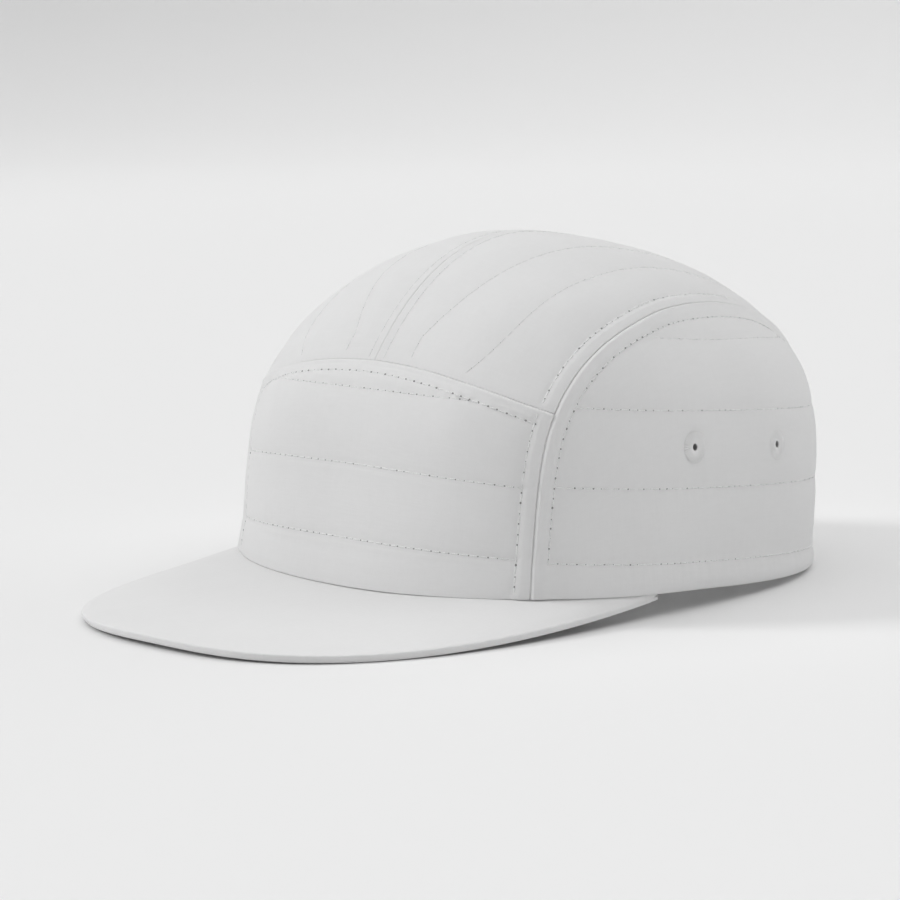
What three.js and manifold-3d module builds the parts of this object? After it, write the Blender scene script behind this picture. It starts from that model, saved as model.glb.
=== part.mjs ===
// Five panel cap, in millimetres: +Z up, the peak towards -Y, the wearer's left towards +X.
// The crown is one smooth shape, an oval wall that turns over a round shoulder into a domed roof.
// Each cloth panel is the stretch of that shape between its seams, given a wall inwards.
// The crown is worked out level, in its own frame, and its group then leans it back on the floor.

import * as THREE from "three";
import { mergeVertices } from "three/addons/utils/BufferGeometryUtils.js";
import Module from "manifold-3d";

// Crown, measured on the outside of the cloth from the middle of the head
const crown_half_width = 84;
const crown_front_length = 85.2;
const crown_back_length = 108.9;
const crown_height = 111.5;
const oval_squareness = 2.61; // 2 is an ellipse, more is a squarer oval

// Roundness of the shoulder: 2 is a ball, more is a tighter turn from wall to roof
const front_shoulder = 3.95;
const side_shoulder = 9.1;
const back_shoulder = 7.3;

// How far the roof has fallen by the wall, as shares of the crown's height
const roof_fall_side = 0.365;
const roof_fall_front = 0.338;
const roof_fall_back = 0.21;

// How far the wall leans in by the top, as shares of its own half width or length
const lean_side = 0.074;
const lean_front = 0.02;
const lean_back = 0.077;

// The lower edge waves a little: up at the sides, lower at the front than at the back, and up
// where the peak ends
const hem_side_rise = 0.34;
const hem_front_fall = 3.6;
const hem_peak_end_rise = 0.8;

// How the crown stands: leaning back, with this height under the middle of its lower edge
const lean_back_degrees = 5.11;
const stand_height = 5.5;

// Cloth
const wall = 1.6;
const seam_gap = 0.3;
const seam_dip = 0.5; // how far a panel sinks at its seams
const seam_dip_reach = 4;
const hem_fold = 0.7; // extra cloth inside the lower edge
const hem_fold_height = 9;

// Seam between a side panel and the rest: straight in plan, then closing in towards the back
const side_seam_offset = 64.5;
const side_seam_closing = 0.17; // millimetres inwards for each one backwards
const side_seam_closing_start = -21.3;
const side_seam_closing_ease = 11.6;

// Seam between the front panel and the top panels, as heights above the crown's lower edge
const front_seam_height = 67.1;
const front_seam_fall = 11.7; // how much lower it is where it meets the side panels

// Height at the back where the arch of the side panel turns into its back edge
const side_arch_back_height = 54;

// Peak
const peak_half_width = 82.2;
const peak_length = 164.4; // from the middle of the head to the front edge
const peak_end_offset = 25; // how far in front of the middle of the head its ends lie
const peak_squareness = 2.67;
const peak_root_height = 8.2;
const peak_slope = 0.054;
const peak_arch = 5.3; // how much lower the edge is at the sides than in the middle
const peak_thickness = 2.6;
const peak_end_thickness = 1.3;
const peak_end_taper = 0.35; // how suddenly it thins at its ends: less is more sudden
const peak_allowance = 5; // how far it reaches in under the crown's lower edge
const peak_seat_gap = 0.3;
const peak_edge_round = 0.8;

// Eyelets: two on each side, at one height, as distances back from the middle of the head
const eyelet_height = 46.2;
const eyelet_front_offset = -10.4;
const eyelet_back_offset = 36.1;
const eyelet_radius = 5.1;
const eyelet_hole_radius = 1.4;
const eyelet_barrel_radius = 3;
const eyelet_clearance = 0.3;
const eyelet_rise = 1.1;

// Fineness of the meshes
const front_cells = [22, 12];
const side_cells = [26, 12];
const top_cells = [10, 30];
const peak_cells = [36, 8];
const eyelet_sides = 20;
const end_crowding = 0.55; // 0 is even cells, towards 1 crowds them at the seams
const curve_samples = 160;
const solver_passes = 50;
const slope_step = 0.01;
const merge_distance = 1e-5;

const cloth_colour = 0xe2e2e1;
const peak_colour = 0xdededd;
const thread_colour = 0xd2d2d1;

const wasm = await Module();
wasm.setup();

const lean = THREE.MathUtils.degToRad(-lean_back_degrees);
const reach_limit = 3 * Math.max(crown_back_length, crown_front_length, crown_half_width);
const least_roof = 0.1; // share of the crown's height that the roof keeps, however far out

// Turns about the X axis that a seam's ends are looked for between: 0 is straight back, pi ahead
const below_front = 1.2 * Math.PI;
const low_front = 0.9 * Math.PI;
const straight_up = 0.5 * Math.PI;
const low_back = 0.1 * Math.PI;
const below_back = -0.2 * Math.PI;

// How far out of the crown's shape a point is: 1 on the cloth's outside, less inside
function outwardShare(point) {
  const ahead = point.y < 0;
  const length = ahead ? crown_front_length : crown_back_length;
  const lean_length = ahead ? lean_front : lean_back;
  const fall_length = ahead ? roof_fall_front : roof_fall_back;
  const height = Math.max(point.z, 0);
  const rise = (height / crown_height) ** 2;
  const across = Math.abs(point.x) / (crown_half_width * (1 - lean_side * rise));
  const along = Math.abs(point.y) / (length * (1 - lean_length * rise));
  const plan = (across ** oval_squareness + along ** oval_squareness) ** (1 / oval_squareness);
  const fall = roof_fall_side * (point.x / crown_half_width) ** 2 + fall_length * (point.y / length) ** 2;
  const roof = crown_height * Math.max(1 - fall, least_roof);
  const direction = Math.atan2(point.y, point.x);
  const end_shoulder = ahead ? front_shoulder : back_shoulder;
  const shoulder = side_shoulder * Math.cos(direction) ** 2 + end_shoulder * Math.sin(direction) ** 2;
  return (plan ** shoulder + (height / roof) ** shoulder) ** (1 / shoulder);
}

// Moves a point straight out from the middle until it lies on the crown
function ontoCrown(point) {
  const moved = point.clone();
  for (let pass = 0; pass < solver_passes; pass += 1) moved.divideScalar(outwardShare(moved));
  return moved;
}

// The outward normal of the crown at a point on it
function crownNormal(point) {
  const slope = (axis) => {
    const before = point.clone();
    const after = point.clone();
    before[axis] -= slope_step;
    after[axis] += slope_step;
    return outwardShare(after) - outwardShare(before);
  };
  return new THREE.Vector3(slope("x"), slope("y"), slope("z")).normalize();
}

// Walks out from distance 0 to where the crown is met; place gives the point at a distance
function meetCrown(place) {
  let inside = 0;
  let outside = reach_limit;
  for (let pass = 0; pass < solver_passes; pass += 1) {
    const middle = (inside + outside) / 2;
    if (outwardShare(place(middle)) < 1) inside = middle;
    else outside = middle;
  }
  return place(inside);
}

// Height of the floor in the leaning crown's own frame
function floorHeight(y) {
  return -(stand_height + y * Math.sin(lean)) / Math.cos(lean);
}

// A point of the crown's lower edge, flat where it lies on the floor
function hemPoint(direction) {
  const wave = hem_side_rise * Math.cos(2 * direction) + hem_front_fall * Math.sin(direction)
    - hem_peak_end_rise * Math.sin(3 * direction);
  const point = meetCrown((distance) => new THREE.Vector3(
    distance * Math.cos(direction), distance * Math.sin(direction), wave));
  point.z = Math.max(wave, floorHeight(point.y));
  return point;
}

function sideSeamOffset(y) {
  const past = y - side_seam_closing_start;
  const eased = (past + Math.hypot(past, side_seam_closing_ease)) / 2;
  return side_seam_offset - side_seam_closing * eased;
}

// A point of a seam that runs from front to back, at a turn about the X axis: 0 is straight back
// and pi straight ahead. shift moves it outwards.
function lengthwiseSeamPoint(offset, shift, turn) {
  return meetCrown((distance) => {
    const y = distance * Math.cos(turn);
    return new THREE.Vector3(offset(y) + shift, y, distance * Math.sin(turn));
  });
}

// A point of the seam above the front panel, at a distance from the middle. shift moves it up.
function frontSeamPoint(x, shift) {
  const height = front_seam_height - front_seam_fall * (x / side_seam_offset) ** 2 + shift;
  return meetCrown((distance) => new THREE.Vector3(x, -distance, height));
}

// Where a lengthwise seam crosses a curve given as height over the point: found turn by turn
function seamTurn(offset, shift, heightOver, from, to) {
  let low = from;
  let high = to;
  for (let pass = 0; pass < solver_passes; pass += 1) {
    const middle = (low + high) / 2;
    const point = lengthwiseSeamPoint(offset, shift, middle);
    if (point.z < heightOver(point)) low = middle;
    else high = middle;
  }
  return (low + high) / 2;
}

function hemHeightOver(point) {
  return hemPoint(Math.atan2(point.y, point.x)).z;
}

function frontSeamHeightOver(shift) {
  return (point) => front_seam_height - front_seam_fall * (point.x / side_seam_offset) ** 2 + shift;
}

// Points along a curve at shares of its length, crowded towards its ends
function along(curve, from, to, cells) {
  const points = [];
  const lengths = [0];
  for (let sample = 0; sample <= curve_samples; sample += 1) {
    points.push(curve(from + ((to - from) * sample) / curve_samples));
    if (sample > 0) lengths.push(lengths[sample - 1] + points[sample].distanceTo(points[sample - 1]));
  }
  const placed = [];
  for (let cell = 0; cell <= cells; cell += 1) {
    const wanted = crowded(cell / cells) * lengths[curve_samples];
    let sample = 1;
    while (sample < curve_samples && lengths[sample] < wanted) sample += 1;
    const part = (wanted - lengths[sample - 1]) / (lengths[sample] - lengths[sample - 1]);
    placed.push(curve(from + ((to - from) * (sample - 1 + part)) / curve_samples));
  }
  return placed;
}

function crowded(share) {
  return share - (end_crowding * Math.sin(2 * Math.PI * share)) / (2 * Math.PI);
}

// Fills the stretch between four edges of points. hem and top run the same way, as do left and
// right, which start at the hem.
function patch(hem, top, left, right) {
  const across = hem.length - 1;
  const up = left.length - 1;
  const rows = [];
  for (let i = 0; i <= across; i += 1) {
    const u = crowded(i / across);
    const row = [];
    for (let j = 0; j <= up; j += 1) {
      const v = crowded(j / up);
      const point = new THREE.Vector3();
      point.addScaledVector(hem[i], 1 - v).addScaledVector(top[i], v);
      point.addScaledVector(left[j], 1 - u).addScaledVector(right[j], u);
      point.addScaledVector(left[0], -(1 - u) * (1 - v)).addScaledVector(right[0], -u * (1 - v));
      point.addScaledVector(left[up], -(1 - u) * v).addScaledVector(right[up], -u * v);
      const on_edge = i === 0 || j === 0 || i === across || j === up;
      row.push(on_edge ? point : ontoCrown(point));
    }
    rows.push(row);
  }
  return rows;
}

// Gives a patch its wall: the outside sinks at the seams, and the inside is thicker at the hem
function clothWall(rows) {
  const across = rows.length - 1;
  const up = rows[0].length - 1;
  const outside = [];
  const inside = [];
  for (let i = 0; i <= across; i += 1) {
    outside.push([]);
    inside.push([]);
    for (let j = 0; j <= up; j += 1) {
      const point = rows[i][j];
      const normal = crownNormal(point);
      const to_seam = Math.min(
        point.distanceTo(rows[0][j]), point.distanceTo(rows[across][j]), point.distanceTo(rows[i][up]));
      const dip = seam_dip * Math.exp(-((to_seam / seam_dip_reach) ** 2));
      const to_hem = point.distanceTo(rows[i][0]) / hem_fold_height;
      const fold = hem_fold * Math.exp(-(to_hem ** 4));
      const outer = point.clone().addScaledVector(normal, -dip);
      const inner = point.clone().addScaledVector(normal, -wall - fold);
      if (j === 0 && point.z - floorHeight(point.y) < 1e-6) {
        outer.z = floorHeight(outer.y);
        inner.z = floorHeight(inner.y);
      }
      outside[i].push(outer);
      inside[i].push(inner);
    }
  }
  return shell(outside, inside);
}

// One closed solid between two grids of points that match
function shell(front_grid, back_grid) {
  const across = front_grid.length - 1;
  const up = front_grid[0].length - 1;
  const points = [...front_grid.flat(), ...back_grid.flat()];
  const front_at = (i, j) => i * (up + 1) + j;
  const back_at = (i, j) => front_at(i, j) + (across + 1) * (up + 1);
  const triangles = [];
  const quad = (a, b, c, d) => triangles.push([a, b, c], [a, c, d]);
  for (let i = 0; i < across; i += 1) {
    for (let j = 0; j < up; j += 1) {
      quad(front_at(i, j), front_at(i + 1, j), front_at(i + 1, j + 1), front_at(i, j + 1));
      quad(back_at(i, j), back_at(i, j + 1), back_at(i + 1, j + 1), back_at(i + 1, j));
    }
    quad(front_at(i, 0), back_at(i, 0), back_at(i + 1, 0), front_at(i + 1, 0));
    quad(front_at(i, up), front_at(i + 1, up), back_at(i + 1, up), back_at(i, up));
  }
  for (let j = 0; j < up; j += 1) {
    quad(front_at(0, j), front_at(0, j + 1), back_at(0, j + 1), back_at(0, j));
    quad(front_at(across, j), back_at(across, j), back_at(across, j + 1), front_at(across, j + 1));
  }
  return facingOut(points, triangles);
}

// A geometry from points and triangles, turned over if its faces point in
function facingOut(points, triangles) {
  let volume = 0;
  for (const [a, b, c] of triangles) {
    volume += points[a].dot(new THREE.Vector3().crossVectors(points[b], points[c]));
  }
  const order = volume < 0 ? (triangle) => [...triangle].reverse() : (triangle) => triangle;
  const geometry = new THREE.BufferGeometry();
  geometry.setAttribute("position", new THREE.Float32BufferAttribute(
    points.flatMap((point) => point.toArray()), 3));
  geometry.setIndex(triangles.flatMap(order));
  return geometry;
}

// The same geometry on the other side of the cap
function mirrored(geometry) {
  const other = geometry.clone();
  const place = other.getAttribute("position");
  for (let n = 0; n < place.count; n += 1) place.setX(n, -place.getX(n));
  other.setIndex([...geometry.getIndex().array].reverse());
  return other;
}

function toManifold(geometry) {
  const plain = geometry.clone();
  for (const name of Object.keys(plain.attributes)) if (name !== "position") plain.deleteAttribute(name);
  const merged = mergeVertices(plain, merge_distance);
  return new wasm.Manifold(new wasm.Mesh({
    numProp: 3,
    vertProperties: merged.getAttribute("position").array,
    triVerts: Uint32Array.from(merged.getIndex().array),
  }));
}

function fromManifold(solid) {
  const mesh = solid.getMesh();
  const geometry = new THREE.BufferGeometry();
  geometry.setAttribute("position", new THREE.Float32BufferAttribute(mesh.vertProperties, 3));
  geometry.setIndex([...mesh.triVerts]);
  return geometry;
}

const half_gap = seam_gap / 2;
const drill_length = 8 * wall; // past both faces of the cloth
const straight_on = () => 0;

// The front panel: hem, both seams to the side panels and the seam to the top panels
function frontPanel() {
  const seam = (turn) => lengthwiseSeamPoint(sideSeamOffset, -half_gap, turn);
  const hem_turn = seamTurn(sideSeamOffset, -half_gap, hemHeightOver, below_front, low_front);
  const top_turn = seamTurn(
    sideSeamOffset, -half_gap, frontSeamHeightOver(-half_gap), below_front, straight_up);
  const right = along(seam, hem_turn, top_turn, front_cells[1]);
  const left = right.map((point) => new THREE.Vector3(-point.x, point.y, point.z));
  const hem_end = Math.atan2(right[0].y, right[0].x);
  const hem = along(hemPoint, -Math.PI - hem_end, hem_end, front_cells[0]);
  const top_end = right.at(-1).x;
  const top = along((x) => frontSeamPoint(x, -half_gap), -top_end, top_end, front_cells[0]);
  return clothWall(patch(hem, top, left, right));
}

// The left side panel: an arch over the hem
function sidePanel() {
  const seam = (turn) => lengthwiseSeamPoint(sideSeamOffset, half_gap, turn);
  const front_hem = seamTurn(sideSeamOffset, half_gap, hemHeightOver, below_front, low_front);
  const front_corner = seamTurn(
    sideSeamOffset, half_gap, frontSeamHeightOver(0), below_front, straight_up);
  const back_corner = seamTurn(
    sideSeamOffset, half_gap, () => side_arch_back_height, below_back, straight_up);
  const back_hem = seamTurn(sideSeamOffset, half_gap, hemHeightOver, below_back, low_back);
  const left = along(seam, front_hem, front_corner, side_cells[1]);
  const right = along(seam, back_hem, back_corner, side_cells[1]);
  const top = along(seam, front_corner, back_corner, side_cells[0]);
  const hem = along(
    hemPoint, Math.atan2(left[0].y, left[0].x), Math.atan2(right[0].y, right[0].x), side_cells[0]);
  return clothWall(patch(hem, top, left, right));
}

// The left top panel: from the hem at the back over the top to the seam above the front panel
function topPanel() {
  const centre = (turn) => lengthwiseSeamPoint(straight_on, half_gap, turn);
  const side = (turn) => lengthwiseSeamPoint(sideSeamOffset, -half_gap, turn);
  const front_height = frontSeamHeightOver(half_gap);
  const ends = (offset, shift) => [
    seamTurn(offset, shift, hemHeightOver, below_back, low_back),
    seamTurn(offset, shift, front_height, below_front, straight_up),
  ];
  const left = along(centre, ...ends(straight_on, half_gap), top_cells[1]);
  const right = along(side, ...ends(sideSeamOffset, -half_gap), top_cells[1]);
  const hem = along(
    hemPoint, Math.atan2(left[0].y, left[0].x), Math.atan2(right[0].y, right[0].x), top_cells[0]);
  const top = along((x) => frontSeamPoint(x, half_gap), left.at(-1).x, right.at(-1).x, top_cells[0]);
  return clothWall(patch(hem, top, left, right));
}

// Where an eyelet sits on the left side panel, and which way it faces
function eyeletSeat(offset) {
  const place = meetCrown((distance) => new THREE.Vector3(distance, offset, eyelet_height));
  const facing = crownNormal(place);
  return { place, turn: new THREE.Quaternion().setFromUnitVectors(new THREE.Vector3(0, 1, 0), facing) };
}

function cutEyeletHoles(panel) {
  let solid = toManifold(panel);
  for (const offset of [eyelet_front_offset, eyelet_back_offset]) {
    const seat = eyeletSeat(offset);
    const radius = eyelet_barrel_radius + eyelet_clearance;
    const drill = new THREE.CylinderGeometry(radius, radius, drill_length, eyelet_sides);
    drill.applyQuaternion(seat.turn);
    drill.translate(...seat.place.toArray());
    solid = solid.subtract(toManifold(drill));
  }
  return fromManifold(solid);
}

// An eyelet: a low sewn ring over the cloth, with a barrel through it. Its axis is Y.
function eyeletRing() {
  const bend = eyelet_radius ** 2 / (2 * Math.min(crown_front_length, crown_back_length));
  const seat = eyelet_clearance;
  const profile = [
    [eyelet_hole_radius, -wall],
    [eyelet_barrel_radius, -wall],
    [eyelet_barrel_radius, seat],
    [eyelet_radius, seat - bend],
    [eyelet_radius, seat],
    [(eyelet_radius + eyelet_barrel_radius) / 2, eyelet_rise],
    [(eyelet_barrel_radius + eyelet_hole_radius) / 2, eyelet_rise],
    [eyelet_hole_radius, seat],
    [eyelet_hole_radius, -wall],
  ].map(([radius, height]) => new THREE.Vector2(radius, height));
  const ring = new THREE.LatheGeometry(profile, eyelet_sides);
  ring.deleteAttribute("normal");
  ring.deleteAttribute("uv");
  const merged = mergeVertices(ring, merge_distance);
  const place = merged.getAttribute("position");
  const points = [];
  for (let n = 0; n < place.count; n += 1) points.push(new THREE.Vector3().fromBufferAttribute(place, n));
  const flat = [...merged.getIndex().array];
  const triangles = [];
  for (let n = 0; n < flat.length; n += 3) {
    const [a, b, c] = flat.slice(n, n + 3);
    if (a !== b && b !== c && c !== a) triangles.push([a, b, c]);
  }
  return facingOut(points, triangles);
}

// A point of the crown's frame as it stands on the floor
function standing(point) {
  const turned = point.clone().applyAxisAngle(new THREE.Vector3(1, 0, 0), lean);
  turned.z += stand_height;
  return turned;
}

// The peak: a crescent from inside the crown's lower edge out to its own rounded edge
function peakPlate() {
  const end_direction = -Math.asin(peak_end_offset / Math.hypot(peak_end_offset, peak_half_width));
  const top = [];
  const bottom = [];
  for (let i = 0; i <= peak_cells[0]; i += 1) {
    const share = crowded(i / peak_cells[0]);
    const direction = -Math.PI - end_direction + share * (Math.PI + 2 * end_direction);
    const hem = hemPoint(direction);
    const normal = crownNormal(hem);
    const root = standing(hem);
    const inner = standing(hem.clone().addScaledVector(normal, -peak_allowance));
    const sweep = Math.PI * (1 - share);
    const power = 2 / peak_squareness;
    const across = Math.sign(Math.cos(sweep)) * Math.abs(Math.cos(sweep)) ** power;
    const ahead = Math.abs(Math.sin(sweep)) ** power;
    const edge = new THREE.Vector3(
      peak_half_width * across, -peak_end_offset - (peak_length - peak_end_offset) * ahead, 0);
    edge.z = peak_root_height + peak_slope * (edge.y + crown_front_length) - peak_arch * across ** 2;
    root.z -= peak_seat_gap;
    inner.z -= peak_seat_gap;
    const thickness = peak_end_thickness
      + (peak_thickness - peak_end_thickness) * Math.sin(Math.PI * share) ** peak_end_taper;
    const out = edge.clone().sub(root).setZ(0);
    const round = Math.min(peak_edge_round, thickness / 3, out.length() / 3);
    out.setLength(round);
    top.push([inner, root]);
    bottom.push([]);
    for (let j = 1; j < peak_cells[1]; j += 1) {
      top[i].push(root.clone().lerp(edge.clone().sub(out), j / (peak_cells[1] - 1)));
    }
    for (const point of top[i]) {
      bottom[i].push(point.clone().setZ(Math.max(point.z - thickness, 0)));
    }
    top[i].push(edge.clone().setZ(edge.z - round));
    bottom[i].push(edge.clone().setZ(Math.max(edge.z - thickness + round, 0)));
  }
  return shell(top, bottom);
}

function named(name, geometry, colour, roughness) {
  const material = new THREE.MeshStandardMaterial({ color: colour, roughness, metalness: 0 });
  const mesh = new THREE.Mesh(geometry, material);
  mesh.name = name;
  return mesh;
}

const crown = new THREE.Group();
crown.rotation.x = lean;
crown.position.z = stand_height;
crown.add(named("front_panel", frontPanel(), cloth_colour, 0.9));
const left_side = cutEyeletHoles(sidePanel());
crown.add(named("side_panel_left", left_side, cloth_colour, 0.9));
crown.add(named("side_panel_right", mirrored(left_side), cloth_colour, 0.9));
const left_top = topPanel();
crown.add(named("top_panel_left", left_top, cloth_colour, 0.9));
crown.add(named("top_panel_right", mirrored(left_top), cloth_colour, 0.9));

const eyelet_offsets = { front: eyelet_front_offset, back: eyelet_back_offset };
for (const [end, offset] of Object.entries(eyelet_offsets)) {
  const seat = eyeletSeat(offset);
  const ring = eyeletRing().applyQuaternion(seat.turn);
  const left = named(`eyelet_left_${end}`, ring, thread_colour, 0.7);
  left.position.copy(seat.place);
  crown.add(left);
  const right = named(`eyelet_right_${end}`, mirrored(ring), thread_colour, 0.7);
  right.position.set(-seat.place.x, seat.place.y, seat.place.z);
  crown.add(right);
}

const cap = new THREE.Group();
cap.name = "five_panel_cap";
cap.add(crown, named("peak", peakPlate(), peak_colour, 0.85));

// The origin lies on the floor, under the middle of the cap's box
const box = new THREE.Box3().setFromObject(cap, true);
cap.position.y = -(box.min.y + box.max.y) / 2;

export default cap;
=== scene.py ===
# %% [markdown]
# A five panel cap is sewn from flat pieces of cotton: a front, two halves over the top and two
# arched sides, with a stiff peak under the front. This lesson dresses the plain solids of such a
# cap: each piece of cloth becomes a fine mesh with rolled seams, rows of thread and a woven finish.
# The solids come first, because every piece below has to sit where its solid sits.

# %% Load the solids
import math

import bpy
import numpy as np
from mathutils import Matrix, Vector, kdtree


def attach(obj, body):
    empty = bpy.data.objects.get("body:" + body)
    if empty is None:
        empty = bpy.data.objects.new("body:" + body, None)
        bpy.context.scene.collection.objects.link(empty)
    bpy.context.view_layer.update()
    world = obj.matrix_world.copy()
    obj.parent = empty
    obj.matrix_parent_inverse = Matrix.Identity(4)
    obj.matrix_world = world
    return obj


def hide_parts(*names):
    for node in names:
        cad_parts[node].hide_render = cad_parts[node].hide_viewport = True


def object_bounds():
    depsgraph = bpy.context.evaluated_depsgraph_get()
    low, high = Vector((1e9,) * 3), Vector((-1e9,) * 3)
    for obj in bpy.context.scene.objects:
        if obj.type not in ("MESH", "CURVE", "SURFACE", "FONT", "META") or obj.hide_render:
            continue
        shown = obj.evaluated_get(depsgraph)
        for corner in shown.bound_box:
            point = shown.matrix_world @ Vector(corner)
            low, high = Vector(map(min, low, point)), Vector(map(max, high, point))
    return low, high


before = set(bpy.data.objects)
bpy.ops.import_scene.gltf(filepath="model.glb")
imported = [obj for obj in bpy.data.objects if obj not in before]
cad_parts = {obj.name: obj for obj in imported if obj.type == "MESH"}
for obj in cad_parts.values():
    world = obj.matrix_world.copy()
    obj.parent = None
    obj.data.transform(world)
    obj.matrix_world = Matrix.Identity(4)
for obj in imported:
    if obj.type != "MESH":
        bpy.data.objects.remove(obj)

solid_low, solid_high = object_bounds()
print("solids reach from", [round(v, 4) for v in solid_low], "to", [round(v, 4) for v in solid_high])

# %% [markdown]
# The sizes are named here in millimetres. The first group repeats the sizes of the solids, so that
# the cloth lies on them. The second group is what the eye sees close up: how far a stitch is from
# its seam, how deep a seam sinks and how long one stitch is.

# %% Sizes of the crown and the peak
MM = 0.001
crown_half_width = 84.0
crown_front_length = 85.2
crown_back_length = 108.9
crown_height = 111.5
oval_squareness = 2.61
front_shoulder, side_shoulder, back_shoulder = 3.95, 9.1, 7.3
roof_fall_side, roof_fall_front, roof_fall_back = 0.365, 0.338, 0.21
lean_side, lean_front, lean_back = 0.074, 0.02, 0.077
hem_side_rise, hem_front_fall, hem_peak_end_rise = 0.34, 3.6, 0.8
lean_back_degrees = 5.11
stand_height = 5.5

side_seam_offset = 64.5
side_seam_closing = 0.17
side_seam_closing_start = -21.3
side_seam_closing_ease = 11.6
front_seam_height, front_seam_fall = 67.1, 11.7
side_arch_back_height = 54.0

peak_half_width, peak_length, peak_end_offset = 82.2, 164.4, 25.0
peak_squareness = 2.67
peak_root_height, peak_slope, peak_arch = 8.2, 0.054, 5.3
peak_thickness, peak_end_thickness, peak_end_taper = 2.6, 0.7, 0.42
peak_allowance, peak_seat_gap = 5.0, 0.05    # how far it runs in under the hem, and how near it
rim_roll = (0.55, 0.5)                 # radius and depth of its rolled rim
rim_undercut = 0.9                     # the lower layer of the peak ends this far inside the upper

eyelet_height = 46.2
eyelet_offsets = {"front": -10.4, "back": 36.1}
eyelet_radius, eyelet_hole_radius = 5.1, 1.4
cut_hole_radius = 2.4                  # the hole in the cloth, hidden under the sewn ring

# %% Sizes of the sewing
wall = 1.6
hem_fold, hem_fold_height = 0.7, 9.0   # the hem is turned up inside, and is that much thicker
folded_edge = (0.9, 1.2)               # radius and depth of the edge that lies on top at a seam
tucked_edge = (0.28, 1.2)              # and of the edge that goes in under it
open_edge = (0.3, 0.7)                 # and of both edges where they are pressed apart
hem_roll = (0.4, 0.12)                 # radius and depth of the lower edge over the peak
hem_flare = 0.9                        # how far it leans out below its row of stitches
free_hem_roll = (4.0, 1.5)             # and of the lower edge where nothing holds it
front_allowance, side_allowance = 4.9, 5.1   # from a seam to the row of stitches beside it
side_allowance_growth = 1.6            # the side's row drifts away from its seam to the back
top_allowance, centre_allowance = 4.7, 3.3
pressed_allowance = 3.6                # the folded cloth behind the front seam shows through
front_rows = ((10.6, 0.9), (34.4, 2.3), (57.6, 0.6))   # height in the middle, fall to the sides
side_rows = (9.3, 33.1, 57.8, 80.4)    # heights above the crown's lower edge
stitch_pitch, stitch_length = 3.1, 2.35
thread_width = 0.5
# needle_hole_shade is the radius of the flat dark disc that is painted shade in each needle hole.
needle_hole_shade = 0.36                     # about the largest; they vary a little
front_fullness = 2.8                   # how far the front panel is pushed out below its top band
cell = 1.0                             # the usual size of one face of the cloth

# %% [markdown]
# The crown is one smooth shape: an oval wall that turns over a round shoulder into a domed roof.
# A formula says how far out a point is, with 1 on the cloth. Dividing a point by that number again
# and again slides it onto the cloth, and the slope of the number gives the way the cloth faces.
# A modelled dome with the same outline would need its points placed by hand; a formula keeps the
# cloth on its solid everywhere, and numpy works it out for a whole panel at once.

# %% The crown's shape
def outward_share(points):
    x, y, height = points[..., 0], points[..., 1], np.maximum(points[..., 2], 0)
    ahead = y < 0
    length = np.where(ahead, crown_front_length, crown_back_length)
    rise = (height / crown_height) ** 2
    across = np.abs(x) / (crown_half_width * (1 - lean_side * rise))
    along = np.abs(y) / (length * (1 - np.where(ahead, lean_front, lean_back) * rise))
    plan = (across ** oval_squareness + along ** oval_squareness) ** (1 / oval_squareness)
    fall = roof_fall_side * (x / crown_half_width) ** 2
    fall = fall + np.where(ahead, roof_fall_front, roof_fall_back) * (y / length) ** 2
    roof = crown_height * np.maximum(1 - fall, 0.1)
    direction = np.arctan2(y, x)
    end_shoulder = np.where(ahead, front_shoulder, back_shoulder)
    shoulder = side_shoulder * np.cos(direction) ** 2 + end_shoulder * np.sin(direction) ** 2
    return (plan ** shoulder + (height / roof) ** shoulder) ** (1 / shoulder)


def onto_crown(points):
    for _ in range(14):
        points = points / outward_share(points)[..., None]
    return points


def crown_normals(points, step=0.01):
    slope = np.empty_like(points)
    for axis in range(3):
        shift = np.zeros(3)
        shift[axis] = step
        slope[..., axis] = outward_share(points + shift) - outward_share(points - shift)
    return slope / np.linalg.norm(slope, axis=-1, keepdims=True)


def meet_crown(place, count):
    """Walks out from distance 0, for many points at once, to where the crown is met."""
    inside, outside = np.zeros(count), np.full(count, 3 * crown_back_length)
    for _ in range(46):
        middle = (inside + outside) / 2
        within = outward_share(place(middle)) < 1
        inside, outside = np.where(within, middle, inside), np.where(within, outside, middle)
    return place(inside)


def stacked(*columns):
    return np.stack(np.broadcast_arrays(*columns), axis=-1)


lean = math.radians(-lean_back_degrees)
middle_of_head = solid_low[1] / MM + peak_length


def standing(points):
    """Leans points of the crown's own frame back on the floor, still in millimetres."""
    x, y, z = points[..., 0], points[..., 1], points[..., 2]
    turned_y = y * math.cos(lean) - z * math.sin(lean)
    turned_z = y * math.sin(lean) + z * math.cos(lean)
    return stacked(x, turned_y + middle_of_head, turned_z + stand_height)


def floor_height(y):
    return -(stand_height + y * math.sin(lean)) / math.cos(lean)


top_of_crown = standing(np.array([0, 0, crown_height]))
print("the crown's middle lies", round(middle_of_head, 2), "mm behind the origin, its top at",
      round(float(top_of_crown[2]), 1), "mm")

# %% [markdown]
# Each seam and each row of stitches is a curve on that shape. A seam that runs from front to back
# is where the crown meets an upright sheet; the seam over the front is a low arch seen from the
# front; a quilted row keeps its height all round. A row beside a seam is the seam moved sideways
# over the cloth by the width of the folded allowance.

# %% Curves on the crown
def hem_curve(direction):
    wave = hem_side_rise * np.cos(2 * direction) + hem_front_fall * np.sin(direction)
    wave = wave - hem_peak_end_rise * np.sin(3 * direction)
    points = meet_crown(
        lambda d: stacked(d * np.cos(direction), d * np.sin(direction), wave), len(direction))
    points[:, 2] = np.maximum(wave, floor_height(points[:, 1]))
    return points


def side_seam_at(y):
    past = y - side_seam_closing_start
    eased = (past + np.hypot(past, side_seam_closing_ease)) / 2
    return side_seam_offset - side_seam_closing * eased


def centre_at(y):
    return np.zeros_like(y)


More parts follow.
